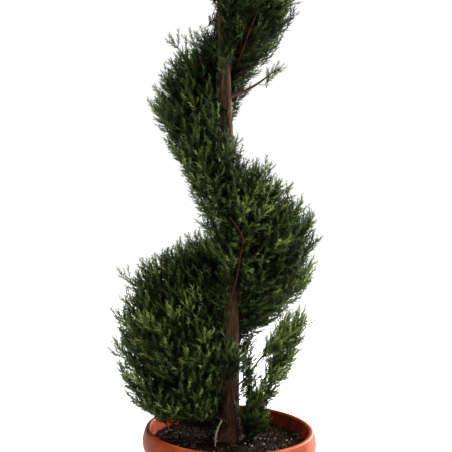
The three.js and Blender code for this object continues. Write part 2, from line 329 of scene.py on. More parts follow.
def placeShoots():
    shoots = []
    for name in massNames:
        spacing, longest, size, _ = looseMasses.get(name, (growth["spacing"], None, 1.0, 0))
        tips, normals = spreadTips(name, spacing)
        for tip, normal in zip(tips, normals):
            direction = tipDirection(tip, normal)
            length = longest or random.uniform(*growth["length"])
            share = growth["looseWhips" if longest else "whips"]
            whip = random.random() < share and normal[2] > -0.3
            if whip:
                least, most = growth["whipReach"]
                if name in tallCrests and normal[2] > growth["crestSlope"]:
                    most = growth["crestReach"]
                reach = random.uniform(least, most)
                tip = tip + direction * reach * (growth["looseReach"] if longest else 1)
            else:
                under = growth["uneven"] * random.random() ** 1.7
                tip = tip - normal * under * (growth["looseUneven"] if longest else 1)
            shoots.append({"line": shootLine(tip, direction, length), "inner": False, "mass": name,
                           "size": size, "whip": whip, "sunlit": max(0.0, float(normal[2]))})
            if longest or random.random() > growth["inner"]:
                continue
            length = random.uniform(*growth["length"])
            inner = tip - normal * random.uniform(*growth["innerDepth"])
            if masses.depth(inner) > 10 * mm:
                direction = tipDirection(inner, normal)
                shoots.append({"line": shootLine(inner, direction, length), "inner": True, "mass": name,
                               "size": 1.0})
    return shoots


def placeTufts():
    # the short shoots on the trunk, and the one that ends it
    shoots = []
    for _ in range(trunkTufts["count"]):
        z, turn = random.uniform(*trunkTufts["heights"]), random.uniform(*trunkTufts["angles"])
        out = np.array([math.cos(turn), math.sin(turn), 0])
        heading = unit(0.5 * out + random.uniform(0.5, 1.0) * up + random.normal(0, 0.15, 3))
        length = random.uniform(*trunkTufts["length"])
        along = np.linspace(0, length, growth["steps"])[:, None]
        shoots.append({"line": trunkCentre(z) + out * trunkRadius(z) * 0.8 + heading * along,
                       "inner": True, "mass": "trunk", "size": looseMasses["trunk"][2]})
    points, _ = masses.parts["leader"]
    top, end = points[points[:, 2] > points[:, 2].max() - 1 * mm].mean(0), trunkCentre(trunkTip)
    shoots.append({"line": end + (top - end) * np.linspace(-1.0, 0.9, 8)[:, None],
                   "inner": False, "mass": "leader", "size": 0.8})
    return shoots


shoots = [shoot for shoot in placeShoots() + placeTufts() if len(shoot["line"]) > 3]
print("shoots:", len(shoots))


# The limbs under them.

branching = {
    "climbs": (1.4, 0.95, 0.55),  # height that a bough may gain for its distance out
    "bareCost": 4.0,          # for each length of limb that would hang outside the foliage
    "trunkCost": 34 * mm,     # makes a new bough dearer than a fork
    "forkCost": 4 * mm,
    "turnCost": 0.6,          # for a fork that turns off its limb's line
    "fallCost": 3.0,          # for one that climbs less than the next value
    "leastRise": 0.25,
    "trunkGap": 12 * mm,      # a fork's point nearer the trunk than this
    "crossCost": 30 * mm,     # costs this much
    "lowest": 8 * mm,         # least height of a bough's foot over the soil
    "rooted": 0.7,            # where it starts, as a share of the trunk's radius
    "steps": 5,               # points along a fork or a bough, up to its shoot
    "tipRadius": 0.55 * mm,
    "thickening": 0.46,       # how fast a limb thickens with the shoots it bears
    "boughRadius": 2.0 * mm,  # thicker limbs than this get bark relief
    "boughTaper": 0.35,       # girth at its end, as a share of that at its foot
}
openBoughs = [                # boughs that lie bare on the front of the foliage: (x, height) along them
    [(-6 * mm, 625 * mm), (4 * mm, 672 * mm), (11 * mm, 725 * mm), (16 * mm, 765 * mm)],
    [(-14 * mm, 806 * mm), (-1 * mm, 790 * mm), (9 * mm, 776 * mm), (18 * mm, 750 * mm)],
    [(-4 * mm, 1124 * mm), (5 * mm, 1150 * mm), (14 * mm, 1180 * mm), (29 * mm, 1219 * mm)],
]
openBough = {
    "girth": 1.6 * mm,
    "taper": 0.6,
    "sunk": 5 * mm,
    "steps": 12,
    "clearing": 8 * mm,       # no spray comes this near to either side of one
    "cleared": 16 * mm,       # from this far behind it to the front
}


def openLines():
    # the same boughs as lines on the front skin
    lines = []
    for marks in openBoughs:
        along = np.linspace(0, 1, len(marks))
        at = np.linspace(0, 1, openBough["steps"])
        line = []
        for x, z in zip(*(np.interp(at, along, row) for row in np.array(marks).T)):
            hit, _, _, _ = masses.tree.ray_cast(Vector((x, -1.0, z)), Vector((0, 1, 0)))
            front = hit[1] + openBough["sunk"] if hit else trunkCentre(z)[1] - trunkRadius(z)
            line.append((x, front, z))
        line = np.array(line)
        line[1:-1, 1] = (line[:-2, 1] + line[1:-1, 1] + line[2:, 1]) / 3
        lines.append(line)
    return lines


openBoughLines = openLines()
openPoints = np.concatenate(openBoughLines)


def coversBough(place, tip):
    # whether a spray would hide one of the bare boughs
    for point in (mix(place, tip, 0.4), mix(place, tip, 0.75), tip):
        gap = np.hypot(openPoints[:, 0] - point[0], openPoints[:, 2] - point[2])
        close = gap < openBough["clearing"]
        if np.any(close & (point[1] < openPoints[:, 1] + openBough["cleared"])):
            return True
    return False


def limbMiddle(name, steps=8):
    # middle line of a CAD bough, outwards from inside the trunk, and its girth
    points, _ = nodeMesh(name)
    _, distance = outwardAt(points)
    bend = np.polyfit(distance, points, 2)
    start = 0.5 * float(trunkRadius(points[:, 2].min()))
    ats = np.linspace(start, distance.max(), steps)
    line = np.stack([np.polyval(bend[:, c], ats) for c in range(3)], axis=1)
    apart = np.linalg.norm(points[:, None] - line[None], axis=2).min(axis=1)
    return line, np.median(apart) * np.linspace(1.0, branching["boughTaper"], steps)


def curveBetween(start, startHeading, end, endHeading, steps, ease=0.35):
    reach = np.linalg.norm(end - start) * ease
    t = np.linspace(0, 1, steps + 1)[:, None]
    a, b = start + startHeading * reach, end - endHeading * reach
    return (1 - t) ** 3 * start + 3 * (1 - t) ** 2 * t * a + 3 * (1 - t) * t ** 2 * b + t ** 3 * end


def bareness(line):
    outside = [max(0.0, -masses.depth(point) - growth["bareRoot"]) for point in line[1:-1]]
    return branching["bareCost"] * sum(outside)


def crossing(line):
    # a fork does not run across the trunk's face
    _, distance = outwardAt(line[1:])
    close = distance < trunkRadius(line[1:, 2]) + branching["trunkGap"]
    return branching["crossCost"] * int(close.sum())


def growLimbs():
    # each shoot joins the nearest limb that it could have grown from
    bare = openBough["girth"] * np.linspace(1.0, openBough["taper"], openBough["steps"])
    first = [limbMiddle(name) for name in boughNames] + [(line, bare) for line in openBoughLines]
    limbs = [{"line": line, "parent": None, "at": 0, "girth": girth} for line, girth in first]
    points = np.concatenate([limb["line"] for limb in limbs])
    owner = np.concatenate([[k] * len(limb["line"]) for k, limb in enumerate(limbs)])
    index = np.concatenate([np.arange(len(limb["line"])) for limb in limbs])
    heading = np.concatenate([unit(np.gradient(limb["line"], axis=0)) for limb in limbs])
    turning, steps = branching["turnCost"], branching["steps"]
    for shoot in sorted(shoots, key=lambda one: outwardAt(one["line"][0])[1]):
        line = shoot["line"]
        base, baseHeading = line[0], unit(line[1] - line[0])
        to = base - points
        far = np.linalg.norm(to, axis=1)
        along = np.sum(unit(to) * heading, axis=1)
        rise = to[:, 2] / np.maximum(far, 1e-6)
        flat = np.clip(branching["leastRise"] - rise, 0, 1)
        cost = (far * (1 + turning - turning * along) + branching["forkCost"]
                + far * branching["fallCost"] * flat)
        best = int(np.argmin(cost))
        outward, distance = outwardAt(base)
        fork = curveBetween(points[best], unit(heading[best] + unit(to[best])), base, baseHeading, steps)
        forkCost = cost[best] + bareness(fork) + crossing(fork)
        ways = [(forkCost, fork, int(owner[best]), int(index[best]))]
        for climb in branching["climbs"]:
            startHeight = max(soilLevel + branching["lowest"], base[2] - climb * distance)
            start = trunkCentre(startHeight) + outward * trunkRadius(startHeight) * branching["rooted"]
            own = curveBetween(start, unit(outward + climb * up), base, baseHeading, steps)
            ownCost = np.linalg.norm(base - start) + branching["trunkCost"] + bareness(own)
            ways.append((ownCost, own, None, 0))
        _, stem, parent, at = min(ways, key=lambda way: way[0])
        whole = np.concatenate([stem[:-1], line])
        limbs.append({"line": whole, "parent": parent, "at": at, "girth": np.zeros(len(whole))})
        points = np.concatenate([points, whole])
        owner = np.concatenate([owner, [len(limbs) - 1] * len(whole)])
        index = np.concatenate([index, np.arange(len(whole))])
        heading = np.concatenate([heading, unit(np.gradient(whole, axis=0))])
    return limbs


def thickenLimbs(limbs):
    for limb in limbs:
        limb["load"] = np.ones(len(limb["line"]))
    for limb in reversed(limbs):
        if limb["parent"] is not None:
            limbs[limb["parent"]]["load"][:limb["at"] + 1] += limb["load"][0]
    for limb in limbs:
        byLoad = branching["tipRadius"] * limb["load"] ** branching["thickening"]
        limb["radius"] = np.maximum(byLoad, limb["girth"])


limbs = growLimbs()
thickenLimbs(limbs)
print("limbs:", len(limbs), "thickest", round(max(l["radius"].max() for l in limbs) / mm, 1), "mm")


# One spray, and the rule that sets sprays on a shoot.

spray = {
    "kinds": 8,
    "plainKinds": 4,          # coarser ones, for the shaded inside
    "plainDepth": 36 * mm,
    "length": 54 * mm,
    "branchlets": 12,
    "branchletLength": 15 * mm,
    "woodTo": 0.3,            # share of the length where leafy wood gives way to young leaf
    "leafTo": 0.68,           # and young leaf to fresh growth
    "spread": math.radians(40),
    "flatness": 0.75,         # depth of a spray for its width
    "thickness": 1.35 * mm,   # about twice life size, so that the count stays in hand
    "perShoot": 9,
    "sharesAlong": (0.12, 0.84),  # of the shoot, where its side sprays stand
    "rising": 0.22,           # how much a spray turns upwards
    "whipSize": 0.72,
    "shrinking": 0.8,         # for each try at a spray that stands too proud
    "sideAngle": math.radians(38),
    "proud": 9 * mm,          # how far a tip may stand out of the clipped surface
    "looseProud": 18 * mm,    # the same for growth that stands clear
    "mostFaces": 170000,      # in one piece
}
sprayLayers = {               # what a spray is made of, and how much fresher its tint is than the spray itself: partly real fresh growth at the tip, partly painted shade on the inner wood and painted light on the outer tips
    "leafy_wood": -0.5,
    "young_leaf": 0.15,
    "fresh_tips": 0.9,
}
freshnessAndLighting = {                # how fresh a shoot's growth is, plus painted light and painted shade: duller below 0, brighter above
    "scatter": 0.28,
    "sprayScatter": 0.25,
    "patches": 0.75,
    "patchWidth": 60 * mm,
    "sunlit": 0.45,           # painted light on a face that looks up
    "core": ([0.05, 0.15], [0.5, 0.05]),  # painted shade near the trunk
    "high": ([1.08, 1.22], [0, 0.35]),    # and painted shade in the upper turns, under the turns above
}
golden = math.radians(137.5)


def addSpike(store, start, end, radius):
    # a leafy branchlet as a closed three-sided spike
    along = unit(end - start)
    side = unit(np.cross(along, [0.3, 0.9, 0.2]))
    other = np.cross(along, side)
    points, faces = store
    first = len(points)
    points += [start + (side * math.cos(a) + other * math.sin(a)) * radius for a in turnsOf(3)]
    points.append(end)
    faces += [(first + k, first + (k + 1) % 3, first + 3) for k in range(3)]
    faces.append((first + 2, first + 1, first))


def sprayMeshes(kind):
    # leafy wood at the foot, young leaf along the middle and fresh growth at the tip, each in a store
    draw = np.random.default_rng(200 + kind)
    wood, leaf, tips = stores = tuple(([], []) for _ in sprayLayers)
    plain = kind >= spray["kinds"]
    branchlets = spray["branchlets"] // (2 if plain else 1)
    coarse = 1.5 if plain else 1.0
    length, thick = spray["length"], spray["thickness"] * coarse
    bend = draw.uniform(0.03, 0.13) * length

    def axisAt(t):
        return np.array([bend * t * t, 0.02 * length * math.sin(5 * t + kind), length * t])

    addSpike(wood, axisAt(0), axisAt(0.7), thick)
    addSpike(tips, axisAt(0.55), axisAt(1.0), thick)
    for k in range(branchlets):
        t = 0.04 + 0.86 * (k + draw.uniform(0, 0.6)) / branchlets
        store = wood if t < spray["woodTo"] else leaf if t < spray["leafTo"] else tips
        root = axisAt(t)
        turn = golden * k + draw.uniform(-0.4, 0.4)
        along = unit(axisAt(min(1, t + 0.05)) - root)
        around = np.array([math.cos(turn), spray["flatness"] * math.sin(turn), 0])
        angle = spray["spread"] * draw.uniform(0.8, 1.2)
        heading = unit(along * math.cos(angle) + around * math.sin(angle))
        reach = spray["branchletLength"] * coarse * (1.15 - 0.62 * t) * draw.uniform(0.8, 1.2)
        end = root + heading * reach + along * reach * 0.2
        addSpike(store, root, end, thick * 0.95)
        if plain or k % 3 == 2:
            continue
        lean = unit(np.cross(heading, around + along * 0.4)) * (1 if k % 2 else -1)
        twigHeading = unit(heading * 0.7 + lean * 0.6 + along * 0.4)
        place = root + (end - root) * 0.35
        addSpike(wood if store is wood else tips, place, place + twigHeading * reach * 0.6, thick * 0.9)
    return stores


def sprayCollections():
    made = [bpy.data.collections.new(label) for label in sprayLayers]
    for kind in range(spray["kinds"] + spray["plainKinds"]):
        for store, collection in zip(sprayMeshes(kind), made):
            meshObject(f"{collection.name}{kind:02d}", *store, smooth=False, home=collection)
    return made


def turnTo(direction, lift):
    # rotation that takes a spray's own +Z to direction and its +X towards lift
    z = Vector(direction)
    x = Vector(lift) - z * z.dot(Vector(lift))
    x = x.normalized() if x.length > 1e-4 else z.orthogonal().normalized()
    y = z.cross(x)
    return Matrix((x, y, z)).transposed().to_euler()


def shootFreshnessAndLighting(shoot):
    # random tone from scatter and patches, with painted light on upward faces and painted shade near the
    # trunk and high up
    tip, rule = shoot["line"][-1], freshnessAndLighting
    freshAndLighting = random.normal(0, rule["scatter"])
    freshAndLighting += rule["patches"] * noise.noise(Vector(tip / rule["patchWidth"]))
    if shoot["mass"] in looseMasses:
        freshAndLighting += looseMasses[shoot["mass"]][3]
    _, distance = outwardAt(tip)
    freshAndLighting += rule["sunlit"] * shoot.get("sunlit", 0) - float(np.interp(distance, *rule["core"]))
    return freshAndLighting - float(np.interp(tip[2], *rule["high"]))


def placeSprays():
    # a shoot is a slim plume: long side sprays low down, shorter ones above, and one to end it
    rows = []
    for number, shoot in enumerate(shoots):
        line = shoot["line"]
        arc = arcLengths(line)
        freshAndLighting = shootFreshnessAndLighting(shoot)
        loose = shoot["mass"] in looseMasses
        count = spray["perShoot"] - (2 if shoot["inner"] else 0)
        for k in range(count + 1):
            last = k == count
            share = 1.0 if last else mix(*spray["sharesAlong"], (k + random.uniform(-0.2, 0.2)) / count)
            at = arc[-1] * share
            place = alongLine(line, arc, at)
            nearby = min(len(line) - 2, int(np.searchsorted(arc, at, side="right")) - 1)
            along = unit(line[nearby + 1] - line[nearby])
            side = unit(np.cross(along, up) + 1e-6)
            other = np.cross(side, along)
            turn = golden * k + number
            angle = 0.0 if last else spray["sideAngle"] * random.uniform(0.75, 1.2)
            around = side * math.cos(turn) + other * math.sin(turn)
            heading = along * math.cos(angle) + around * math.sin(angle) + up * spray["rising"]
            heading[2] = max(heading[2], -0.05)
            heading = unit(heading)
            size = shoot["size"] * random.uniform(0.85, 1.1) * (1.0 if last else 1.12 - 0.5 * share)
            if shoot.get("whip") and share > 0.6:
                size *= spray["whipSize"]
            if last:
                place = place - heading * spray["length"] * size * 0.85
            proud = random.uniform(-2 * mm, spray["looseProud" if loose else "proud"])
            if shoot.get("whip") and share > 0.5:
                proud = growth["crestReach"] + 2 * mm
            for _ in range(4):
                tip = place + heading * spray["length"] * size
                tipDepth = masses.depth(tip)
                if tipDepth > -proud:
                    break
                size *= spray["shrinking"]
            if tipDepth < -proud or tip[2] < soilLevel + 4 * mm or coversBough(place, tip):
                continue
            if tipDepth > spray["plainDepth"]:
                kind = spray["kinds"] + int(random.integers(spray["plainKinds"]))
            else:
                kind = int(random.integers(spray["kinds"]))
            # a spray's tint shift: its shoot's freshness with painted light and shade, and a random scatter
            fresh = freshAndLighting + random.normal(0, freshnessAndLighting["sprayScatter"])
            rows.append((place, heading, size, tipDepth, fresh, kind))
    return rows


sprays = placeSprays()
print("sprays:", len(sprays))


# Materials.

def newMaterial(name):
    material = bpy.data.materials.new(name)
    material.use_nodes = True
    tree = material.node_tree
    return material, tree, tree.nodes["Principled BSDF"]


def objectPlace(tree):
    return addNode(tree, "ShaderNodeTexCoord").outputs["Object"]


def noiseAt(tree, place, millimetres, detail=3, roughness=0.5):
    # one feature of the noise is about this many millimetres
    scale = 1 / (millimetres * mm)
    return addNode(tree, "ShaderNodeTexNoise",
                   {"Scale": scale, "Detail": detail, "Roughness": roughness}, {"Vector": place})


def ramp(tree, value, stops):
    made = addNode(tree, "ShaderNodeValToRGB", None, {"Fac": value})
    elements = made.color_ramp.elements
    while len(elements) < len(stops):
        elements.new(0.5)
    for element, (at, colour) in zip(elements, stops):
        element.position = at
        element.color = linear(colour)
    return made.outputs["Color"]


def addBump(tree, shader, pattern, strength, depth):
    bump = addNode(tree, "ShaderNodeBump", {"Strength": strength, "Distance": depth},
                   {"Height": pattern.outputs["Fac"]})
    tree.links.new(bump.outputs["Normal"], shader.inputs["Normal"])


def setFinish(shader, roughness, gloss):
    shader.inputs["Roughness"].default_value = roughness
    shader.inputs["Specular IOR Level"].default_value = gloss


def patchyMaterial(name, size, detail, stops, roughness, gloss=0.5, grain=0.5, bump=None):
    # colour that follows a noise of this size in millimetres, and a bump that follows it too
    material, tree, shader = newMaterial(name)
    pattern = noiseAt(tree, objectPlace(tree), size, detail, grain)
    tree.links.new(ramp(tree, pattern.outputs["Fac"], stops), shader.inputs["Base Color"])
    if bump:
        addBump(tree, shader, pattern, *bump)
    setFinish(shader, roughness, gloss)
    return material


leafTints = [                 # from the shaded inside to the sunlit tips
    ("#090e05", "#11180a"),
    ("#141d0b", "#1d2910"),
    ("#202d10", "#2d3c16"),
    ("#3a4f1d", "#50672a"),
    ("#6a7e36", "#929f51"),
]


def leafMaterial(level):
    # juniper scale leaves: a waxy skin with a soft low gloss, one copy for each level of painted shade and
    # light
    low, high = leafTints[level]
    return patchyMaterial(f"juniperLeaf{level}", 14, 2, [(0.35, low), (0.65, high)],
                          0.6 - 0.04 * level, 0.05 + 0.045 * level)


def twigMaterial():
    # young juniper wood: thin reddish-brown bark that peels in flakes
    stops = [(0.3, "#25140c"), (0.55, "#4b2515"), (0.75, "#6b3c23")]
    return patchyMaterial("juniperTwigBark", 6, 4, stops, 0.85, 0.15)


def barkMaterial():
    # old juniper bark: grey-brown fibres that run up the trunk, redder where a strip has peeled
    material, tree, shader = newMaterial("juniperBark")
    place = objectPlace(tree)
    stretched = addNode(tree, "ShaderNodeMapping", {"Scale": (1, 1, 0.07)}, {"Vector": place})
    fibres = noiseAt(tree, stretched.outputs["Vector"], 2.2, 5, 0.6)
    patches = noiseAt(tree, stretched.outputs["Vector"], 9, 3)
    grain = ramp(tree, fibres.outputs["Fac"], [(0.3, "#1c120b"), (0.5, "#432f1f"), (0.72, "#73563c")])
    peeled = ramp(tree, fibres.outputs["Fac"], [(0.3, "#29170d"), (0.6, "#693f26")])
    share = addNode(tree, "ShaderNodeMapRange", {"From Min": 0.54, "From Max": 0.66},
                    {"Value": patches.outputs["Fac"]})
    both = addNode(tree, "ShaderNodeMix", {"data_type": "RGBA"})
    tree.links.new(share.outputs["Result"], both.inputs[0])
    tree.links.new(grain, both.inputs[6])
    tree.links.new(peeled, both.inputs[7])
    tree.links.new(both.outputs[2], shader.inputs["Base Color"])
    addBump(tree, shader, fibres, 0.5, 0.6 * mm)
    setFinish(shader, 0.88, 0.2)
    return material


def boughMaterial():
    # younger bark: foxy red-brown, smooth between thin peeling strips
    stops = [(0.3, "#1f120b"), (0.52, "#472a1b"), (0.75, "#70503a")]
    return patchyMaterial("juniperBoughBark", 5, 5, stops, 0.8, grain=0.6, bump=(0.4, 0.4 * mm))


# Repeated and path-following pieces by Geometry Nodes.

def socketId(tree, name):
    return next(s.identifier for s in tree.interface.items_tree
                if s.name == name and s.in_out == "INPUT")


def newTree(name, inputs):
    tree = bpy.data.node_groups.new(name, "GeometryNodeTree")
    for label, kind in {"Geometry": "NodeSocketGeometry", **inputs}.items():
        tree.interface.new_socket(label, in_out="INPUT", socket_type=kind)
    tree.interface.new_socket("Geometry", in_out="OUTPUT", socket_type="NodeSocketGeometry")
    return tree, tree.nodes.new("NodeGroupInput").outputs, tree.nodes.new("NodeGroupOutput").inputs


def runTree(source, tree, values):
    # the evaluated result as a plain mesh object under the source's name
    modifier = source.modifiers.new("grow", "NODES")
    modifier.node_group = tree
    for label, value in values.items():
        modifier[socketId(tree, label)] = value
    evaluated = source.evaluated_get(bpy.context.evaluated_depsgraph_get())
    mesh = bpy.data.meshes.new_from_object(evaluated)
    name = source.name
    source.modifiers.remove(modifier)
    bpy.data.objects.remove(source)
    return newObject(name, mesh)


def named(tree, label, kind):
    return addNode(tree, "GeometryNodeInputNamedAttribute", {"data_type": kind, "Name": label})


def realInMaterial(tree, geometry, finish, result):
    real = addNode(tree, "GeometryNodeRealizeInstances", None, {"Geometry": geometry})
    covered = addNode(tree, "GeometryNodeSetMaterial", None,
                      {"Geometry": real.outputs["Geometry"], "Material": finish})
    tree.links.new(covered.outputs["Geometry"], result["Geometry"])
    return tree


def scatterTree():
    # one of the shapes on each point, by the point's own turn, size and kind
    tree, given, result = newTree("Scatter", {
        "Kinds": "NodeSocketCollection", "Finish": "NodeSocketMaterial"})
    kinds = addNode(tree, "GeometryNodeCollectionInfo",
                    {"Separate Children": True, "Reset Children": True}, {"Collection": given["Kinds"]})
    turn = named(tree, "turn", "FLOAT_VECTOR")
    size = named(tree, "size", "FLOAT")
    kind = named(tree, "kind", "INT")
    rotation = addNode(tree, "FunctionNodeEulerToRotation", None, {0: turn.outputs["Attribute"]})
    placed = addNode(tree, "GeometryNodeInstanceOnPoints", {"Pick Instance": True}, {
        "Points": given["Geometry"], "Instance": kinds.outputs["Instances"],
        "Instance Index": kind.outputs["Attribute"], "Rotation": rotation.outputs["Rotation"],
        "Scale": size.outputs["Attribute"]})
    return realInMaterial(tree, placed.outputs["Instances"], given["Finish"], result)


def twigTree():
    # a capped tube along each line, by the points' own radius
    tree, given, result = newTree("Twigs", {"Sides": "NodeSocketInt", "Finish": "NodeSocketMaterial"})
    curve = addNode(tree, "GeometryNodeMeshToCurve", None, {"Mesh": given["Geometry"]})
    radius = named(tree, "radius", "FLOAT")
    sized = addNode(tree, "GeometryNodeSetCurveRadius", None,
                    {"Curve": curve.outputs["Curve"], "Radius": radius.outputs["Attribute"]})
    profile = addNode(tree, "GeometryNodeCurvePrimitiveCircle", {"Radius": 1.0},
                      {"Resolution": given["Sides"]})
    tube = addNode(tree, "GeometryNodeCurveToMesh", {"Fill Caps": True},
                   {"Curve": sized.outputs["Curve"], "Profile Curve": profile.outputs["Curve"]})
    if "Scale" in tube.inputs:
        tree.links.new(radius.outputs["Attribute"], tube.inputs["Scale"])
    return realInMaterial(tree, tube.outputs["Mesh"], given["Finish"], result)


def setAttribute(mesh, label, kind, values):
    field = "vector" if kind == "FLOAT_VECTOR" else "value"
    number = np.int32 if kind == "INT" else np.float32
    attribute = mesh.attributes.new(label, kind, "POINT")
    attribute.data.foreach_set(field, np.array(values, number).ravel())


def scatterPiece(name, rows, kinds, material, replaced=()):
    # rows start with place, heading and size, and end with the kind of shape
    source = meshObject(name, [row[0] for row in rows], [], smooth=False)
    setAttribute(source.data, "turn", "FLOAT_VECTOR", [list(turnTo(row[1], up)) for row in rows])
    setAttribute(source.data, "size", "FLOAT", [row[2] for row in rows])
    setAttribute(source.data, "kind", "INT", [row[-1] for row in rows])
    piece = runTree(source, scatter, {"Kinds": kinds, "Finish": material})
    return finishPiece(piece, None, replaced)


scatter = scatterTree()
leafMaterials = [leafMaterial(level) for level in range(len(leafTints))]
leafShade = {                 # painted shade: tint of a spray by how far its tip lies inside the clipped surface, darker deeper in
    "depths": [-8 * mm, 0, 12 * mm, 40 * mm, 80 * mm],
    "tints": [3.0, 2.4, 1.8, 0.8, 0.0],
    "fresh": 0.9,             # and for each step of freshness, with its painted light and shade
}


def tintLevel(row, lift):
    depth, fresh = row[3], row[4]
    # painted shade by depth, lifted by freshness and its painted light
    shade = np.interp(depth, leafShade["depths"], leafShade["tints"])
    return int(np.clip(round(shade + fresh * leafShade["fresh"] + lift), 0, len(leafTints) - 1))


def growFoliage():
    for kinds, (label, lift) in zip(sprayCollections(), sprayLayers.items()):
        facesOf = [len(shape.data.polygons) for shape in kinds.objects]
        # one piece for each tint level, from painted shade to painted light
        for level in range(len(leafTints)):
            chosen = sorted((row for row in sprays if tintLevel(row, lift) == level),
                            key=lambda row: row[0][2])
            parts = max(1, math.ceil(sum(facesOf[row[5]] for row in chosen) / spray["mostFaces"]))
            for part in range(parts):
                some = chosen[part * len(chosen) // parts:(part + 1) * len(chosen) // parts]
                if some:
                    piece = scatterPiece(f"{label}_{level}_{part}", some, kinds,
                                         leafMaterials[level], massNames)
                    print(piece.name, len(some), "sprays,", len(piece.data.polygons), "faces")


growFoliage()


def thickPart(limb):
    return int(np.sum(limb["radius"] > branching["boughRadius"]))


def growTwigs():
    # the thin ends of the limbs; their thick ends get the boughs' bark
    points, edges, radii = [], [], []
    for limb in limbs:
        start = max(0, thickPart(limb) - 1)
        line, radius = limb["line"][start:], limb["radius"][start:]
        if len(line) < 2:
            continue
        first = len(points)
        points += list(line)
        radii += list(np.minimum(radius, branching["boughRadius"]))
        edges += [(first + k, first + k + 1) for k in range(len(line) - 1)]
    source = meshObject("twigs", points, [], smooth=False, edges=edges)
    setAttribute(source.data, "radius", "FLOAT", radii)
    piece = runTree(source, twigTree(), {"Sides": 4, "Finish": twigMaterial()})
    print("twigs:", len(piece.data.polygons), "faces")
    return finishPiece(piece)


growTwigs()


# The trunk and the boughs.

barkRelief = {
    "sides": 84,
    "steps": 620,
    "sunk": 4 * mm,           # how far the trunk goes into the soil
    "ridge": 1.3 * mm,        # depth of the fibrous ridges on the trunk
    "fullRidge": 18 * mm,     # thinner than this, the trunk has shallower ridges
    "ridgeWidth": 5 * mm,
    "ridgeLength": 55 * mm,
    "twist": 0.5,             # turn of the grain, in radians for each metre of height
    "boughSides": 12,
    "boughStep": 5 * mm,
    "boughRidge": 0.1,        # depth of the ridges on a bough, as a share of its radius
}


def ridgeAt(angle, radius, along):
    # height of the bark's fibres, about -1 to 1
    width, length = barkRelief["ridgeWidth"], barkRelief["ridgeLength"]
    across = Vector((math.cos(angle) * radius / width, math.sin(angle) * radius / width, along / length))
    ridges = 1 - abs(noise.noise(across)) * 2.4
    return ridges - 0.6 + 0.45 * noise.noise(across * 2.7 + Vector((7, 3, 1)))


def ringFaces(rings, sides, first=0):
    faces = []
    for start in range(first, first + (rings - 1) * sides, sides):
        for k in range(sides):
            a, b = start + k, start + (k + 1) % sides
            faces.append((a, b, b + sides, a + sides))
    return faces


def closedTube(rings):
    # rings with one number of sides, capped at both ends
    sides = len(rings[0])
    points = [p for ring in rings for p in ring]
    faces = ringFaces(len(rings), sides)
    last = (len(rings) - 1) * sides
    faces.append(tuple(range(sides - 1, -1, -1)))
    faces.append(tuple(range(last, last + sides)))
    return points, faces


def growTrunk(material):
    rings = []
    for z in np.linspace(soilLevel - barkRelief["sunk"], trunkTip, barkRelief["steps"] + 1):
        centre = trunkCentre(max(z, soilLevel))
        radius = float(trunkRadius(max(z, soilLevel)))
        relief = min(1.0, radius / barkRelief["fullRidge"]) * barkRelief["ridge"]
        ring = []
        for a in turnsOf(barkRelief["sides"]):
            flutes = 1 + 0.05 * math.sin(3 * a + 4 * z) + 0.03 * math.sin(5 * a)
            r = radius * flutes + relief * ridgeAt(a + barkRelief["twist"] * z, radius, z)
            ring.append((centre[0] + r * math.cos(a), centre[1] + r * math.sin(a), z))
        rings.append(ring)
    return finishPiece(meshObject("trunk_bark", *closedTube(rings)), material, ["trunk"])


def growBoughs(material):
    points, faces = [], []
    for limb in limbs:
        thick = thickPart(limb)
        if thick < 2:
            continue
        line, radius = limb["line"][:thick], limb["radius"][:thick]
        arc = arcLengths(line)
        ats = np.linspace(0, arc[-1], max(3, int(arc[-1] / barkRelief["boughStep"])))
        middles = alongLine(line, arc, ats)
        radii = np.interp(ats, arc, radius)
        headings = unit(np.gradient(middles, axis=0))
        rings = []
        for at, middle, heading, r in zip(ats, middles, headings, radii):
            side = unit(np.cross(heading, [0.31, 0.2, 0.93]))
            other = np.cross(heading, side)
            ring = []
            for a in turnsOf(barkRelief["boughSides"]):
                wide = r * (1 + barkRelief["boughRidge"] * ridgeAt(a, 3 * r, at + middles[0][2]))
                ring.append(middle + (side * math.cos(a) + other * math.sin(a)) * wide)
            rings.append(ring)
        some, joined = closedTube(rings)
        faces += [tuple(i + len(points) for i in face) for face in joined]
        points += some
    print("boughs:", len(faces), "faces")
    return finishPiece(meshObject("bough_bark", points, faces), material, boughNames)


growTrunk(barkMaterial())
growBoughs(boughMaterial())
print("trunk and boughs grown")


# The pot and its soil.

potShape = {                  # millimetres; the rim and the height are the frame's
    "footRadius": 130,
    "floor": 14,
    "wall": 11,
    "collarHeight": 54,       # from the crest down to where the roll meets the wall
    "rimDrop": 32,            # from the crest down to the widest line
    "smoothing": 3,           # times that the outline's corners are cut
    "sides": 176,
    "throwing": 0.25,         # height of the wheel's rings
}


def turnedRings(profile, sides, offset=lambda a, r, z: (0.0, 0.0)):
    # a closed body turned from points (radius, height), both ends on the axis
    points, inner = [(0, 0, profile[0][1])], profile[1:-1]
    for radius, height in inner:
        for a in turnsOf(sides):
            more, higher = offset(a, radius, height)
            r = radius + more
            points.append((r * math.cos(a), r * math.sin(a), height + higher))
    points.append((0, 0, profile[-1][1]))
    faces = ringFaces(len(inner), sides, 1)
    last = len(points) - 1
    for k in range(sides):
        after = (k + 1) % sides
        faces.append((0, 1 + after, 1 + k))
        faces.append((last, last - sides + k, last - sides + after))
    return points, faces


def rounded(profile, times):
    # corners cut until the outline runs smoothly
    for _ in range(times):
        cut = [profile[0]]
        for (r0, z0), (r1, z1) in zip(profile, profile[1:]):
            cut.append((0.75 * r0 + 0.25 * r1, 0.75 * z0 + 0.25 * z1))
            cut.append((0.25 * r0 + 0.75 * r1, 0.25 * z0 + 0.75 * z1))
        profile = cut + [profile[-1]]
    return profile


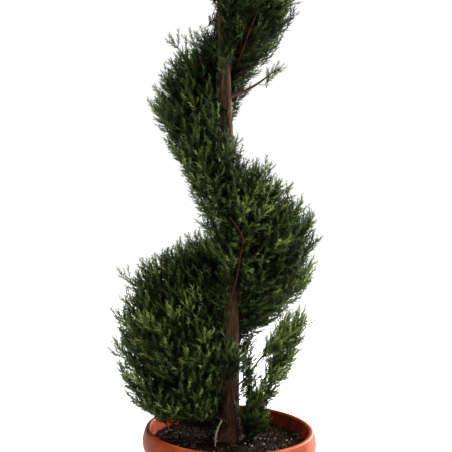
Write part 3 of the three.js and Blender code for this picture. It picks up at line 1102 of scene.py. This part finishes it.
def clayMaterial():
    # terracotta: fired clay with an even soft sheen, mottled by the kiln and by damp
    material, tree, shader = newMaterial("terracotta")
    place = objectPlace(tree)
    clouds = noiseAt(tree, place, 38, 4, 0.6)
    grains = noiseAt(tree, place, 1.6, 3)
    stops = [(0.28, "#712a10"), (0.46, "#893613"), (0.6, "#98421a"), (0.78, "#a75a31")]
    colour = ramp(tree, clouds.outputs["Fac"], stops)
    tree.links.new(colour, shader.inputs["Base Color"])
    addBump(tree, shader, grains, 0.3, 0.3 * mm)
    setFinish(shader, 0.5, 0.15)
    return material


def turnPot():
    _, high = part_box("pot")
    height, rim = high[2] / mm, high[0] / mm
    shape = potShape
    collarFoot, shoulder = height - shape["collarHeight"], rim - 12
    profile = [
        (0, 0), (shape["footRadius"] - 6, 0), (shape["footRadius"], 0), (shape["footRadius"] + 1, 8),
        (shoulder - 3, collarFoot - 12), (shoulder, collarFoot), (shoulder + 5, collarFoot + 2),
        (rim - 2, height - shape["rimDrop"] - 12), (rim, height - shape["rimDrop"] - 3),
        (rim, height - shape["rimDrop"] + 6), (rim - 4, height - 8), (rim - 8, height),
        (rim - 15, height), (rim - 17.5, height - 3), (rim - 18.5, height - 12),
        (shoulder - shape["wall"], collarFoot), (shape["footRadius"] - shape["wall"], shape["floor"] + 6),
        (shape["footRadius"] - shape["wall"] - 6, shape["floor"]), (0, shape["floor"]),
    ]
    profile = [(r * mm, z * mm) for r, z in rounded(profile, shape["smoothing"])]

    def thrown(a, r, z):
        ring = noise.noise(Vector((z * 160, 0.6 * math.cos(a), 0.6 * math.sin(a))))
        return -abs(ring) * shape["throwing"] * mm, 0.0

    points, faces = turnedRings(profile, shape["sides"], thrown)
    return finishPiece(meshObject("turned_pot", points, faces), clayMaterial(), ["pot"])


turnPot()
print("pot turned")

soilShape = {
    "sides": 200,
    "rings": 74,
    "crumble": 2.6 * mm,      # height of the uneven surface
    "lumps": 16 * mm,
    "grains": 5 * mm,
    "crown": (30 * mm, 90 * mm),  # radii between which the heap round the trunk falls away
    "shoulder": 4 * mm,       # height left at the second, over the edge
    "strewn": 0.97,           # share of the radius that loose pieces cover
    "trunkGap": 3 * mm,
    "lumpKinds": 5,
}


def soilMaterial():
    # damp compost: near black, with brown fibre showing through
    stops = [(0.36, "#060302"), (0.52, "#150d06"), (0.7, "#382413")]
    return patchyMaterial("dampCompost", 3.5, 4, stops, 0.9, 0.05, grain=0.65, bump=(0.9, 1.5 * mm))


def chipMaterial():
    # composted bark chips: split wood, grey-brown with redder faces
    stops = [(0.3, "#1d120b"), (0.5, "#3f2817"), (0.64, "#6b4529"), (0.78, "#9a7a5a")]
    return patchyMaterial("barkChip", 7, 3, stops, 0.85)


def gritMaterial():
    # perlite: expanded volcanic glass, chalk white and slightly soiled
    return patchyMaterial("perlite", 2.5, 2, [(0.35, "#a39a8b"), (0.6, "#e6e1d6")], 0.95)


def soilProfile():
    points, _ = nodeMesh("soil")
    radii = np.linalg.norm(points[:, :2], axis=1)
    heights = np.unique(np.round(points[:, 2], 4))
    return [(float(radii[np.abs(points[:, 2] - z) < 2e-4].max()), float(z)) for z in heights]


soilSide = soilProfile()
soilEdge = max(soilSide[2:], key=lambda ring: ring[0])


def soilHeight(x, y):
    r = math.hypot(x, y)
    crown = float(np.interp(r, [*soilShape["crown"], soilEdge[0]],
                            [soilSide[-1][1], soilEdge[1] + soilShape["shoulder"], soilEdge[1]]))
    lumps = noise.noise(Vector((x, y, 0)) / soilShape["lumps"])
    fine = noise.noise(Vector((x, y, 0.3)) / soilShape["grains"])
    return crown + soilShape["crumble"] * (0.75 * lumps + 0.35 * fine)


def layCompost():
    rings, edge = soilShape["rings"], soilEdge[0]
    top = [(edge * (1 - k / rings), soilEdge[1]) for k in range(rings)]
    profile = [(0, soilSide[0][1])] + soilSide[:2] + top + [(0, soilHeight(0, 0))]

    def crumbled(a, r, z):
        if z < soilEdge[1] - 1 * mm:
            return 0.0, 0.0
        return 0.0, soilHeight(r * math.cos(a), r * math.sin(a)) - z

    points, faces = turnedRings(profile, soilShape["sides"], crumbled)
    return finishPiece(meshObject("compost", points, faces), soilMaterial(), ["soil"])


def lumpMeshes(name, sizes):
    # small broken pieces, each an uneven 20-sided lump
    collection = bpy.data.collections.new(name)
    t = (1 + 5 ** 0.5) / 2
    corners = [(-1, t, 0), (1, t, 0), (-1, -t, 0), (1, -t, 0), (0, -1, t), (0, 1, t),
               (0, -1, -t), (0, 1, -t), (t, 0, -1), (t, 0, 1), (-t, 0, -1), (-t, 0, 1)]
    faces = [(0, 11, 5), (0, 5, 1), (0, 1, 7), (0, 7, 10), (0, 10, 11), (1, 5, 9), (5, 11, 4),
             (11, 10, 2), (10, 7, 6), (7, 1, 8), (3, 9, 4), (3, 4, 2), (3, 2, 6), (3, 6, 8),
             (3, 8, 9), (4, 9, 5), (2, 4, 11), (6, 2, 10), (8, 6, 7), (9, 8, 1)]
    for kind in range(soilShape["lumpKinds"]):
        draw = np.random.default_rng(500 + kind)
        points = unit(np.array(corners)) * np.array(sizes) / 2 * draw.uniform(0.65, 1.25, (12, 1))
        meshObject(f"{name}{kind}", points, faces, smooth=False, home=collection)
    return collection


def scatterOnSoil(count, sink, sizeRange, flat):
    rows = []
    for _ in range(count):
        r = soilEdge[0] * soilShape["strewn"] * math.sqrt(random.random())
        a = random.uniform(0, 2 * math.pi)
        x, y = r * math.cos(a), r * math.sin(a)
        middle = trunkCentre(soilLevel)
        if math.hypot(x - middle[0], y - middle[1]) < trunkRadius(soilLevel) + soilShape["trunkGap"]:
            continue
        heading = unit(np.array([random.normal(), random.normal(), random.normal() * flat]))
        rows.append(((x, y, soilHeight(x, y) + sink), heading, random.uniform(*sizeRange),
                     int(random.integers(soilShape["lumpKinds"]))))
    return rows


soilDressing = {              # count, size, height over the soil, range of scale, upward share, material
    "compost_crumbs": (1500, (4 * mm, 3.4 * mm, 4.6 * mm), 0.5 * mm, (0.5, 1.3), 1.0, soilMaterial),
    "bark_chips": (330, (4 * mm, 1.8 * mm, 11 * mm), 1.2 * mm, (0.5, 1.35), 0.25, chipMaterial),
    "perlite": (34, (3.6 * mm, 3 * mm, 3.4 * mm), 1.2 * mm, (0.5, 1.2), 1.0, gritMaterial),
}


def dressSoil():
    for name, (count, sizes, sink, sizeRange, flat, material) in soilDressing.items():
        rows = scatterOnSoil(count, sink, sizeRange, flat)
        scatterPiece(name, rows, lumpMeshes(name + "Shapes", sizes), material())


layCompost()
dressSoil()
print("soil laid")

dryShoot = {                  # a dead, pale shoot that stands at the foot of the trunk, its near-white colour partly painted light
    "foot": (-30 * mm, -52 * mm),
    "reach": (14 * mm, 6 * mm, 58 * mm),
    "bow": 5 * mm,
    "radius": 2.0 * mm,
    "scales": 26,
    "scaleLength": 7 * mm,
    "scaleRadius": 1.4 * mm,
}


def dryMaterial():
    # dead scale leaves: pale straw with a little green left, lightened to near white as painted light,
    # since the shoot stands in the foliage's shade
    return patchyMaterial("dryJuniper", 5, 2, [(0.35, "#c4ca98"), (0.6, "#e2e0c2"), (0.75, "#f0ecd8")], 0.8)


def growDryShoot():
    x, y = dryShoot["foot"]
    foot = np.array([x, y, soilHeight(x, y) - 1 * mm])
    reach = np.array(dryShoot["reach"])
    points, faces = [], []

    def lineAt(t):
        return foot + reach * t + np.array([-dryShoot["bow"] * math.sin(math.pi * t), 0, 0])

    for low, high in zip(np.linspace(0, 0.86, 8), np.linspace(0.17, 1.0, 8)):
        addSpike((points, faces), lineAt(low), lineAt(high), dryShoot["radius"])
    for k in range(dryShoot["scales"]):
        t = 0.15 + 0.8 * k / dryShoot["scales"]
        turn = golden * k
        side = unit(np.array([math.cos(turn), math.sin(turn), 1.1]))
        end = lineAt(t) + side * dryShoot["scaleLength"] * (1.2 - 0.5 * t)
        addSpike((points, faces), lineAt(t), end, dryShoot["scaleRadius"])
    return finishPiece(meshObject("dry_shoot", points, faces, smooth=False), dryMaterial())


growDryShoot()


# Stage, light and camera.

studio = {
    "floorRadius": 30.0,
    "floorSides": 64,
    "backdrop": 1.0,
    "surroundings": 0.12,
}
lights = {                    # kind, place, target, strength, width
    "overhead": ("SUN", (0.3, -0.6, 4.0), (0, 0, 0), 3.1, math.radians(50)),
    "keySoftbox": ("AREA", (2.5, 0.6, 2.3), (0, 0, 0.9), 160.0, 1.2),
    "rimSoftbox": ("AREA", (1.7, 2.2, 1.2), (0, 0, 0.9), 120.0, 1.0),
    "fillSoftbox": ("AREA", (-2.2, -2.6, 2.4), (0, 0, 0.9), 22.0, 1.8),
}
cameraSetup = {
    "place": (-0.0212, -2.3341, 1.0534),
    "down": math.radians(6.849),
    "roll": math.radians(1.695),
    "lens": 87.6,
    "sensor": 36.0,
}


def makeCamera():
    data = bpy.data.cameras.new("camera")
    data.lens, data.sensor_width = cameraSetup["lens"], cameraSetup["sensor"]
    camera = newObject("camera", data)
    down, roll = cameraSetup["down"], cameraSetup["roll"]
    ahead = Vector((0, math.cos(down), -math.sin(down)))
    right = Vector((1, 0, 0))
    over = right.cross(ahead)
    across = right * math.cos(roll) + over * math.sin(roll)
    upright = over * math.cos(roll) - right * math.sin(roll)
    turn = Matrix((across, upright, -ahead)).transposed()
    camera.matrix_world = Matrix.Translation(cameraSetup["place"]) @ turn.to_4x4()
    bpy.context.scene.camera = camera


def makeLight(name, kind, place, target, power, width):
    data = bpy.data.lights.new(name, kind)
    data.energy = power
    if kind == "SUN":
        data.angle = width
    else:
        data.shape, data.size = "DISK", width
    light = newObject(name, data)
    aim = Vector(target) - Vector(place)
    light.matrix_world = Matrix.Translation(place) @ aim.to_track_quat("-Z", "Y").to_matrix().to_4x4()


def makeStage():
    radius = studio["floorRadius"]
    ring = [(radius * math.cos(a), radius * math.sin(a), 0) for a in turnsOf(studio["floorSides"])]
    floor = meshObject("floor", ring, [tuple(range(len(ring)))], smooth=False)
    material, tree, shader = newMaterial("paleFloor")
    shader.inputs["Base Color"].default_value = linear("#fbfbfb")
    shader.inputs["Roughness"].default_value = 0.9
    floor.data.materials.append(material)
    world = bpy.data.worlds.new("studio")
    world.use_nodes = True
    bpy.context.scene.world = world
    tree = world.node_tree
    seen = addNode(tree, "ShaderNodeLightPath").outputs["Is Camera Ray"]
    strength = addNode(tree, "ShaderNodeMapRange",
                       {"To Min": studio["surroundings"], "To Max": studio["backdrop"]}, {"Value": seen})
    tree.links.new(strength.outputs["Result"], tree.nodes["Background"].inputs["Strength"])
    tree.nodes["Background"].inputs["Color"].default_value = (1, 1, 1, 1)


makeCamera()
makeStage()
for label, facts in lights.items():
    makeLight(label, *facts)
bpy.context.scene.view_settings.view_transform = "Standard"
